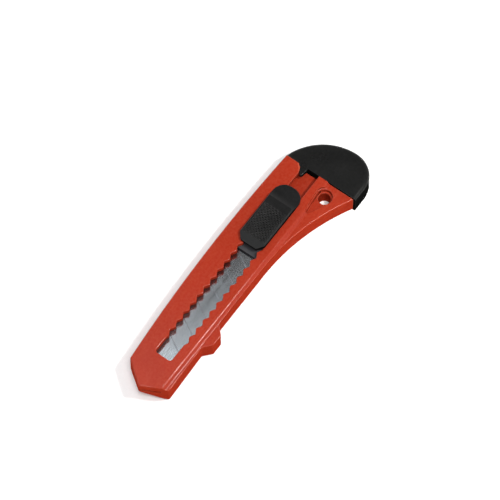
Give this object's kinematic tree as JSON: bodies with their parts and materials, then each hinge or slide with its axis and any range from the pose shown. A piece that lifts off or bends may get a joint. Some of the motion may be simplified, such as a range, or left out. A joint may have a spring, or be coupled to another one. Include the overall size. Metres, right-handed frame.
{
  "type": "snap-off utility knife",
  "caption": "Snap-off utility knife with a moulded handle, toothed slot, sliding scored blade, thumb slider and pull-off end cap.",
  "frame": {"origin": "on the handle's flat back face, under the centre line of the slot, 73 mm behind the tip of the nose", "axes": "+X along the knife and out of the nose, +Y towards the cutting edge and the finger stop, +Z out of the slider face"},
  "size_m": [0.1464, 0.0385, 0.0142],
  "materials": {
    "handle_plastic": "semi-gloss",
    "cap_plastic": "satin",
    "blade_steel": "ground",
    "carrier_plastic": "satin",
    "slider_plastic": "matt",
    "spring_steel": "rolled"
  },
  "bodies": {
    "handle": {"handle": "handle_plastic"},
    "slider": {"thumb_slider": "slider_plastic", "blade_carrier": "carrier_plastic", "detent_spring": "spring_steel", "blade": "blade_steel"},
    "cap": {"end_cap": "cap_plastic"}
  },
  "joints": [
    {"name": "blade_slide", "type": "slide", "parent": "handle", "child": "slider", "axis": [1, 0, 0], "range_m": [-0.01, 0.06], "deforming": ["detent_spring"]},
    {"name": "cap_pull", "type": "slide", "parent": "handle", "child": "cap", "axis": [-1, 0, 0], "range_m": [0, 0.03]}
  ]
}
